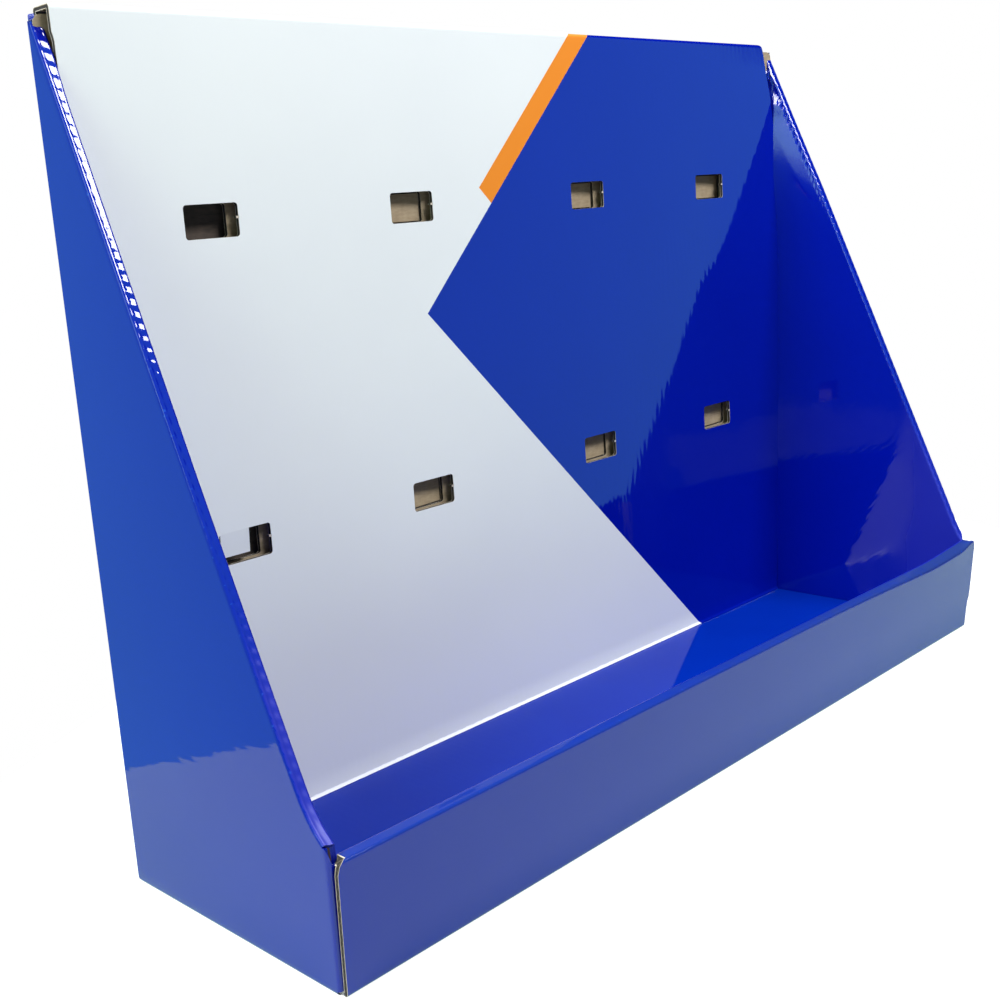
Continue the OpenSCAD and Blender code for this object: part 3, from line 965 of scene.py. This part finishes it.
class Nodes:
    """Short hand for building a shader tree."""

    def __init__(self, tree):
        self.tree = tree

    def new(self, kind, values=None, **settings):
        item = self.tree.nodes.new(kind)
        for name, value in settings.items():
            setattr(item, name, value)
        for name, value in (values or {}).items():
            self.set(item, name, value)
        return item

    def set(self, item, name, value):
        socket = item.inputs[name]
        if isinstance(value, bpy.types.NodeSocket):
            self.tree.links.new(value, socket)
        else:
            socket.default_value = value

    def math(self, operation, a, b=0.0, c=0.0):
        item = self.new("ShaderNodeMath", {0: a, 1: b, 2: c}, operation=operation)
        return item.outputs[0]

    def mix(self, factor, a, b):
        item = self.new("ShaderNodeMix", {0: factor, 6: a, 7: b}, data_type="RGBA")
        return item.outputs[2]

    def remap(self, value, low, high, to_low=0.0, to_high=1.0):
        item = self.new("ShaderNodeMapRange", {0: value, 1: low, 2: high, 3: to_low, 4: to_high})
        return item.outputs[0]

    def noise(self, vector, scale, detail=3.0, roughness=0.5):
        return self.new("ShaderNodeTexNoise", {"Vector": vector, "Scale": scale, "Detail": detail,
                                               "Roughness": roughness}).outputs[0]

    def bump(self, distance, height, strength=1.0):
        return self.new("ShaderNodeBump", {"Strength": strength, "Distance": distance, "Height": height})

    def blank(self):
        return self.new("ShaderNodeUVMap", uv_map="blank").outputs[0]

    def layer(self, name):
        return self.new("ShaderNodeAttribute", attribute_name=name).outputs[2]


def group(name, inputs, outputs):
    """A node group with named sockets. Returns its builder, its inputs and its output node."""
    tree = bpy.data.node_groups.new(name, "ShaderNodeTree")
    for label, value in inputs.items():
        socket = tree.interface.new_socket(label, in_out="INPUT", socket_type="NodeSocketFloat")
        socket.default_value = value
    for label, kind in outputs.items():
        tree.interface.new_socket(label, in_out="OUTPUT", socket_type=kind)
    nodes = Nodes(tree)
    return nodes, nodes.new("NodeGroupInput").outputs, nodes.new("NodeGroupOutput").inputs


def flute_ripple_group():
    """Height of the flutes that show through a liner, uneven along and across them."""
    nodes, given, result = group("flute_ripple", {"Pitch": FLUTE_PITCH, "Fold Boost": 2.0},
                                 {"Height": "NodeSocketFloat"})
    blank = nodes.blank()
    across = nodes.new("ShaderNodeSeparateXYZ", {0: blank}).outputs[1]
    drift = nodes.noise(blank, 55.0, 2.0)
    turns = nodes.math("MULTIPLY_ADD", drift, 1.6, nodes.math("DIVIDE", across, given["Pitch"]))
    wave = nodes.math("SINE", nodes.math("MULTIPLY", turns, 2 * math.pi))
    strength = nodes.remap(nodes.noise(blank, 30.0, 2.0), 0.35, 0.7, 0.1, 1.0)
    drawn = nodes.new("ShaderNodeMapping", {0: blank, 3: (0.05, 1.0, 1.0)}).outputs[0]
    streaks = nodes.noise(drawn, 420.0, 2.0)
    fold = nodes.layer("fold")
    boost = nodes.math("MULTIPLY_ADD", fold, given["Fold Boost"], 1.0)
    uneven = nodes.math("MULTIPLY_ADD", wave, strength, streaks)
    nodes.tree.links.new(nodes.math("MULTIPLY", uneven, boost), result["Height"])
    return nodes.tree


def board_waves_group():
    """Height of the slow waves and small dimples of a laminated sheet."""
    nodes, given, result = group("board_waves", {"Wave Scale": 14.0, "Dimple Scale": 220.0,
                                                 "Dimple Share": 0.04}, {"Height": "NodeSocketFloat"})
    blank = nodes.blank()
    waves = nodes.noise(blank, given["Wave Scale"], 2.0)
    dimples = nodes.noise(blank, given["Dimple Scale"], 2.0)
    height = nodes.math("MULTIPLY_ADD", dimples, given["Dimple Share"], waves)
    nodes.tree.links.new(height, result["Height"])
    return nodes.tree


def fold_wear_group():
    """Mask of the print that is rubbed or cracked along folds."""
    nodes, given, result = group("fold_wear", {"Amount": 0.5, "Scale": 420.0}, {"Mask": "NodeSocketFloat"})
    blank = nodes.blank()
    fold = nodes.layer("fold")
    grain = nodes.noise(blank, given["Scale"], 4.0)
    limit = nodes.math("SUBTRACT", 1.0, given["Amount"])
    wear = nodes.math("MULTIPLY", fold, nodes.math("SUBTRACT", grain, limit))
    nodes.tree.links.new(nodes.remap(wear, 0.0, 0.06), result["Mask"])
    return nodes.tree


def fibre_group():
    """Fine paper fibres: a shade mask and a height."""
    nodes, given, result = group("paper_fibre", {"Scale": 900.0}, {"Shade": "NodeSocketFloat",
                                                                  "Height": "NodeSocketFloat"})
    spot = nodes.new("ShaderNodeTexCoord").outputs["Object"]
    stretched = nodes.new("ShaderNodeMapping", {0: spot, 3: (0.25, 1.0, 1.0)}).outputs[0]
    fine = nodes.noise(stretched, given["Scale"], 5.0, 0.65)
    blotch = nodes.noise(spot, 60.0, 3.0)
    shade = nodes.math("MULTIPLY_ADD", blotch, 0.6, nodes.math("MULTIPLY", fine, 0.7))
    nodes.tree.links.new(shade, result["Shade"])
    nodes.tree.links.new(fine, result["Height"])
    return nodes.tree


BLUE = (0.0003, 0.0064, 0.320, 1.0)
BLUE_DEEP = (0.0002, 0.0054, 0.295, 1.0)
BLUE_WORN = (0.008, 0.050, 0.43, 1.0)
THIN_BLUE = (0.0006, 0.022, 0.330, 1.0)
THIN_DEEP = (0.0005, 0.019, 0.305, 1.0)
# Lighter haze of scuffed print: partly rubbed film, partly a painted sheen
HAZE_AND_SHEEN = (0.018, 0.040, 0.205, 1.0)
WHITE = (0.770, 0.800, 0.800, 1.0)
WHITE_SHADE = (0.745, 0.775, 0.780, 1.0)
ORANGE = (0.80, 0.235, 0.003, 1.0)
KRAFT_LIGHT = (0.47, 0.38, 0.26, 1.0)
KRAFT_DARK = (0.27, 0.205, 0.13, 1.0)
# Painted shade: the dark liner on the leg, standing for the shade behind the hook holes
PAINTED_SHADE_LIGHT = (0.130, 0.100, 0.080, 1.0)
PAINTED_SHADE_DARK = (0.060, 0.050, 0.045, 1.0)
PAPER_EDGE = (0.72, 0.69, 0.64, 1.0)
# Painted shade: the dark hollows between a cut edge's liners, and its medium in shade
HOLLOW_PAINTED_SHADE = (0.040, 0.035, 0.032, 1.0)
FLUTE_SHADE = (0.120, 0.098, 0.075, 1.0)
# Cracked print along the shelf fold, brighter than the white print: partly a painted highlight
WORN_AND_HIGHLIGHT = (0.97, 0.98, 1.0, 1.0)


def new_material(name, specular=0.5):
    """An empty material with its Principled shader and how strongly that mirrors."""
    material = bpy.data.materials.new(name)
    material.use_nodes = True
    nodes = Nodes(material.node_tree)
    shader = material.node_tree.nodes["Principled BSDF"]
    shader.inputs["Specular IOR Level"].default_value = specular
    return material, nodes, shader


def place_group(nodes, tree, values):
    """A node group placed in a material with its own values."""
    item = nodes.new("ShaderNodeGroup", node_tree=tree)
    for name, value in values.items():
        nodes.set(item, name, value)
    return item


# Relief in metres: flutes and slow waves under the film, flutes under rubbed print, fibres, cut edges
FLUTE_RELIEF = 0.000005
WAVE_RELIEF = 0.0003
RUBBED_RELIEF = 0.000008
FIBRE_RELIEF = 0.00008
CUT_RELIEF = 0.0003
MATT_ROUGHNESS = 0.42


def gloss_film(nodes, shader, groups, matt):
    """The glossy film over a print, with flutes and slow waves showing in its reflections.

    Where matt is 1 the film is duller.
    """
    flutes = place_group(nodes, groups["flutes"], {"Fold Boost": 1.5})
    sheet = place_group(nodes, groups["waves"], {"Wave Scale": 16.0})
    fine = nodes.bump(FLUTE_RELIEF, flutes.outputs[0])
    nodes.set(fine, "Normal", nodes.bump(WAVE_RELIEF, sheet.outputs[0]).outputs[0])
    nodes.set(shader, "Normal", fine.outputs[0])
    gloss = nodes.remap(sheet.outputs[0], 0.3, 0.8, 0.02, 0.06)
    nodes.set(shader, "Roughness", nodes.math("MULTIPLY_ADD", matt, MATT_ROUGHNESS, gloss))


def blue_print(groups):
    """Solid blue print under gloss film, on the tray's outer side."""
    material, nodes, shader = new_material("blue_print")
    blank = nodes.blank()
    tone = nodes.noise(blank, 9.0, 3.0)
    ink = nodes.mix(nodes.remap(tone, 0.3, 0.7), BLUE, BLUE_DEEP)
    wear = place_group(nodes, groups["wear"], {"Amount": 0.37})
    nodes.set(shader, "Base Color", nodes.mix(wear.outputs[0], ink, BLUE_WORN))
    gloss_film(nodes, shader, groups, nodes.layer("scuff"))
    return material


def rubbed_print(groups):
    """Blue print whose film is dulled by handling, on the shelf and the front wall's rolled-over top. Where
    it is scuffed the ink turns lighter and greyer, partly rubbed film and partly a painted sheen.
    """
    material, nodes, shader = new_material("rubbed_print", 0.08)
    blank = nodes.blank()
    tone = nodes.noise(blank, 24.0, 4.0)
    ink = nodes.mix(nodes.remap(tone, 0.3, 0.7), THIN_BLUE, THIN_DEEP)
    grain = nodes.remap(nodes.noise(blank, 160.0, 5.0), 0.25, 0.75, 0.7, 1.3)
    scuff = nodes.layer("scuff")
    # Scuffed places turn lighter and greyer: partly rubbed film, partly a painted sheen
    ink = nodes.mix(nodes.math("MULTIPLY", scuff, grain), ink, HAZE_AND_SHEEN)
    wear = place_group(nodes, groups["wear"], {"Amount": 0.37})
    nodes.set(shader, "Base Color", nodes.mix(wear.outputs[0], ink, BLUE_WORN))
    nodes.set(shader, "Roughness", nodes.remap(tone, 0.2, 0.8, 0.03, 0.07))
    flutes = place_group(nodes, groups["flutes"], {"Fold Boost": 0.0})
    nodes.set(shader, "Normal", nodes.bump(RUBBED_RELIEF, flutes.outputs[0]).outputs[0])
    return material


# The hook panel's print, in metres: the wedge's tip and slope, the stripe beside it and its slanted end,
# and the bright line along the shelf fold, which is cracked print and a painted highlight
WEDGE_HEIGHT = 0.1798
WEDGE_TIP = -0.0488
WEDGE_SLOPE = 0.979
STRIPE_W = 0.0129
STRIPE_END = 0.1517
STRIPE_END_WAY = (0.7, 0.714)
STRIPE_SOFT = 0.0001
LEG_PRINT = 0.006
PRINT_SOFT = 0.00012
CRACK_AND_HIGHLIGHT_W = (0.0010, 0.0016)
CRACK_AND_HIGHLIGHT_SOFT = 0.0002


def panel_print(groups):
    """The hook panel's print: a white field, a blue wedge and a narrow orange stripe, under gloss film."""
    material, nodes, shader = new_material("panel_print")
    blank = nodes.blank()
    parts = nodes.new("ShaderNodeSeparateXYZ", {0: blank})
    run, x = parts.outputs[0], parts.outputs[1]
    height = nodes.math("SUBTRACT", run, PANEL_RUN)
    wedge = nodes.math("ABSOLUTE", nodes.math("SUBTRACT", height, WEDGE_HEIGHT))
    edge = nodes.math("MULTIPLY_ADD", wedge, WEDGE_SLOPE, WEDGE_TIP)
    past = nodes.math("SUBTRACT", x, edge)
    soft = PRINT_SOFT
    on_wedge = nodes.remap(past, -soft, soft)
    on_shelf = nodes.remap(height, SHELF_Z + BOARD + soft, SHELF_Z + BOARD - soft)
    on_leg = nodes.remap(height, RIDGE_TOP + LEG_PRINT - soft, RIDGE_TOP + LEG_PRINT + soft)
    blue = nodes.math("MAXIMUM", nodes.math("MAXIMUM", on_wedge, on_shelf), on_leg)
    beside = nodes.remap(past, -STRIPE_W - soft, -STRIPE_W + soft)
    across, up = STRIPE_END_WAY
    rise = nodes.math("ADD", nodes.math("MULTIPLY", x, across), nodes.math("MULTIPLY", height, up))
    stripe = nodes.math("MULTIPLY", beside, nodes.remap(rise, STRIPE_END - soft, STRIPE_END + soft))
    above = nodes.remap(height, WEDGE_HEIGHT, WEDGE_HEIGHT + STRIPE_SOFT)
    stripe = nodes.math("MULTIPLY", stripe, above)
    tone = nodes.noise(blank, 9.0, 3.0)
    shade = nodes.remap(tone, 0.3, 0.7)
    ink = nodes.mix(stripe, nodes.mix(shade, WHITE, WHITE_SHADE), ORANGE)
    ink = nodes.mix(blue, ink, nodes.mix(shade, BLUE, BLUE_DEEP))
    # A bright line along the shelf fold, on the white only: cracked print and partly a painted highlight of
    # the creased ridge
    from_fold = nodes.math("ABSOLUTE", nodes.math("SUBTRACT", height, SHELF_Z + BOARD))
    rag = nodes.noise(blank, 260.0, 4.0)
    width = nodes.remap(rag, 0.3, 0.7, *CRACK_AND_HIGHLIGHT_W)
    near_fold = nodes.remap(nodes.math("SUBTRACT", from_fold, width), 0.0, CRACK_AND_HIGHLIGHT_SOFT, 1.0, 0.0)
    on_white = nodes.math("SUBTRACT", 1.0, nodes.math("MAXIMUM", on_wedge, on_shelf))
    cracked_and_highlight = nodes.math("MULTIPLY", near_fold, on_white)
    nodes.set(shader, "Base Color", nodes.mix(cracked_and_highlight, ink, WORN_AND_HIGHLIGHT))
    gloss_film(nodes, shader, groups, nodes.math("SUBTRACT", 1.0, blue))
    return material


def kraft_liner(groups, name, light, dark):
    """Plain liner with fine fibres and faint flute lines."""
    material, nodes, shader = new_material(name, 0.2)
    fibre = place_group(nodes, groups["fibre"], {"Scale": 900.0})
    flutes = place_group(nodes, groups["flutes"], {"Fold Boost": 0.5})
    lines_shade = nodes.math("MULTIPLY_ADD", flutes.outputs[0], 0.05, fibre.outputs["Shade"])
    nodes.set(shader, "Base Color", nodes.mix(nodes.remap(lines_shade, 0.4, 0.9), light, dark))
    nodes.set(shader, "Roughness", nodes.remap(fibre.outputs["Shade"], 0.4, 0.9, 0.78, 0.92))
    nodes.set(shader, "Normal", nodes.bump(FIBRE_RELIEF, fibre.outputs["Height"], 0.5).outputs[0])
    return material


def raw_edge(groups):
    """The cut edge of the board: two liners and the wave of the flutes between them, with the hollows and
    the medium painted dark as shade.
    """
    material, nodes, shader = new_material("raw_edge", 0.15)
    blank = nodes.blank()
    parts = nodes.new("ShaderNodeSeparateXYZ", {0: blank})
    turns = nodes.math("MULTIPLY", parts.outputs[0], 2 * math.pi / FLUTE_PITCH)
    wave = nodes.math("MULTIPLY_ADD", nodes.math("SINE", turns), 0.34, 0.5)
    off = nodes.math("ABSOLUTE", nodes.math("SUBTRACT", parts.outputs[1], wave))
    flute = nodes.remap(off, 0.10, 0.17, 1.0, 0.0)
    side = nodes.math("ABSOLUTE", nodes.math("SUBTRACT", parts.outputs[1], 0.5))
    liner = nodes.remap(side, 0.35, 0.40)
    paper = nodes.math("MAXIMUM", flute, liner)
    fibre = place_group(nodes, groups["fibre"], {"Scale": 1400.0})
    torn = nodes.mix(nodes.remap(fibre.outputs["Shade"], 0.4, 0.9), PAPER_EDGE, KRAFT_LIGHT)
    # Painted shade: the hollows between the flutes are dark and the medium is shaded
    inside = nodes.mix(flute, HOLLOW_PAINTED_SHADE, FLUTE_SHADE)
    nodes.set(shader, "Base Color", nodes.mix(liner, inside, torn))
    nodes.set(shader, "Roughness", nodes.remap(fibre.outputs["Shade"], 0.4, 0.9, 0.8, 0.95))
    nodes.set(shader, "Normal", nodes.bump(CUT_RELIEF, paper, 0.7).outputs[0])
    return material


# The floor: its two tones, its light for the camera and into the glossy walls, and its corners
FLOOR_LIGHT = (0.41, 0.42, 0.43, 1.0)
FLOOR_DARK = (0.39, 0.40, 0.41, 1.0)
FLOOR_WHITE = (1.0, 1.0, 1.0, 1.0)
FLOOR_SEEN = 0.86
FLOOR_SHEEN = (0.29, 0.66, 0.52, 1.0)
FLOOR_CORNERS = ((-0.75, -0.42), (-0.30, -0.42), (-0.06, -0.19), (0.34, -0.10), (0.42, 0.10), (0.42, 0.522),
                 (-0.75, -0.144))


def floor_finish():
    """Matt pale paper under the display, lit like the backdrop for the camera."""
    material, nodes, shader = new_material("pale_floor")
    spot = nodes.new("ShaderNodeTexCoord").outputs["Object"]
    tone = nodes.noise(spot, 3.0, 2.0)
    nodes.set(shader, "Base Color", nodes.mix(tone, FLOOR_DARK, FLOOR_LIGHT))
    shader.inputs["Roughness"].default_value = 0.9
    path = nodes.new("ShaderNodeLightPath").outputs
    nodes.set(shader, "Emission Color", nodes.mix(path["Is Glossy Ray"], FLOOR_WHITE, FLOOR_SHEEN))
    seen = nodes.math("MULTIPLY", path["Is Camera Ray"], FLOOR_SEEN)
    nodes.set(shader, "Emission Strength", nodes.math("ADD", path["Is Glossy Ray"], seen))
    return material


def floor():
    """A plain pale floor under the display."""
    mesh = bmesh.new()
    mesh.faces.new([mesh.verts.new((x, y, 0.0)) for x, y in FLOOR_CORNERS])
    data = bpy.data.meshes.new("floor")
    mesh.to_mesh(data)
    mesh.free()
    data.materials.append(floor_finish())
    piece = bpy.data.objects.new("floor", data)
    bpy.context.collection.objects.link(piece)


def softbox(name, where, target, size, power, colour=(1.0, 1.0, 1.0)):
    """A large soft light that faces a target."""
    data = bpy.data.lights.new(name, "AREA")
    data.shape = "RECTANGLE"
    data.size, data.size_y = size
    data.energy = power
    data.color = colour
    lamp = bpy.data.objects.new(name, data)
    bpy.context.collection.objects.link(lamp)
    lamp.location = where
    aim = Vector(target) - Vector(where)
    lamp.rotation_euler = aim.to_track_quat("-Z", "Y").to_euler()


# The studio: its dim room, its backdrop, and the sky that the film mirrors, which is dark to the right
ROOM = (0.118, 0.125, 0.130, 1.0)
BACKDROP = (1.0, 1.0, 1.0, 1.0)
SKY = (0.24, 0.74, 1.30, 1.0)
SKY_DARK = (0.01, 0.03, 0.10, 1.0)
DARK_FROM_X = (0.66, 0.74)
DARK_FROM_Y = (-0.56, -0.50)


def studio_light():
    """A white backdrop, a cool dim room with a tinted sky for the film to mirror, and four soft boxes."""
    world = bpy.data.worlds.new("studio")
    bpy.context.scene.world = world
    world.use_nodes = True
    nodes = Nodes(world.node_tree)
    room = world.node_tree.nodes["Background"]
    room.inputs["Color"].default_value = ROOM
    direction = nodes.new("ShaderNodeTexCoord").outputs["Generated"]
    way = nodes.new("ShaderNodeSeparateXYZ", {0: direction}).outputs
    to_right = nodes.remap(way[0], *DARK_FROM_X)
    dark_side = nodes.math("MULTIPLY", to_right, nodes.remap(way[1], *DARK_FROM_Y))
    sky = nodes.new("ShaderNodeBackground", {"Color": nodes.mix(dark_side, SKY, SKY_DARK)})
    backdrop = nodes.new("ShaderNodeBackground", {"Color": BACKDROP})
    path = nodes.new("ShaderNodeLightPath").outputs
    lit = nodes.new("ShaderNodeMixShader", {0: path["Is Glossy Ray"], 1: room.outputs[0],
                                            2: sky.outputs[0]})
    both = nodes.new("ShaderNodeMixShader", {0: path["Is Camera Ray"], 1: lit.outputs[0],
                                             2: backdrop.outputs[0]})
    nodes.set(world.node_tree.nodes["World Output"], "Surface", both.outputs[0])
    softbox("key_softbox", (0.18, -0.57, 0.89), (0.0, 0.03, 0.18), (0.55, 0.26), 11.6)
    softbox("ceiling_softbox", (-1.30, 0.10, 1.60), (0.0, 0.0, 0.10), (0.7, 0.7), 40.0)
    softbox("side_card", (-1.20, -0.14, 0.73), (0.2, 0.04, 0.25), (0.6, 0.6), 3.4, (0.60, 1.0, 0.60))
    softbox("rear_fill", (-0.30, 1.50, 1.00), (0.0, 0.05, 0.15), (1.2, 0.8), 14.0)
    bpy.context.scene.view_settings.view_transform = "Standard"


# The camera, as the photograph saw the display: its place, its axes, and its sensor and lens in mm
CAMERA_PLACE = (-0.40455, -0.33659, 0.21986)
CAMERA_RIGHT = (0.7051706841, -0.7054955091, -0.0707841291)
CAMERA_DOWN = (-0.1840902209, -0.0857638362, -0.9791605359)
CAMERA_AHEAD = (0.6847226423, 0.7035059709, -0.1903529671)
CAMERA_SENSOR = 36.0
CAMERA_LENS = 47.459
CAMERA_SHIFT = (0.0293, -0.0367)
CAMERA_NEAR = 0.01


def camera():
    """A camera at the photograph's place and framing."""
    data = bpy.data.cameras.new("camera")
    data.sensor_width = CAMERA_SENSOR
    data.lens = CAMERA_LENS
    data.shift_x, data.shift_y = CAMERA_SHIFT
    data.clip_start = CAMERA_NEAR
    item = bpy.data.objects.new("camera", data)
    bpy.context.collection.objects.link(item)
    axes = [Vector(CAMERA_RIGHT), -Vector(CAMERA_DOWN), -Vector(CAMERA_AHEAD), Vector(CAMERA_PLACE)]
    item.matrix_world = Matrix([[*(a[k] for a in axes)] for k in range(3)] + [[0.0, 0.0, 0.0, 1.0]])
    bpy.context.scene.camera = item


camera()
floor()
studio_light()
groups = {"flutes": flute_ripple_group(), "waves": board_waves_group(), "wear": fold_wear_group(),
          "fibre": fibre_group()}
kraft, raw = kraft_liner(groups, "kraft_liner", KRAFT_LIGHT, KRAFT_DARK), raw_edge(groups)
# The leg's liner is painted dark, as painted shade behind the hook holes
leg_shade = kraft_liner(groups, "painted_shade_liner", PAINTED_SHADE_LIGHT, PAINTED_SHADE_DARK)
rubbed = rubbed_print(groups)
tray = display_tray([blue_print(groups), kraft, raw, rubbed])
panel = hook_panel([panel_print(groups), kraft, raw, rubbed, leg_shade])
for piece, node, slot in ((tray, "display_tray", "blue_board"), (panel, "hook_panel", "panel_board")):
    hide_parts(node)
    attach(piece, "root")
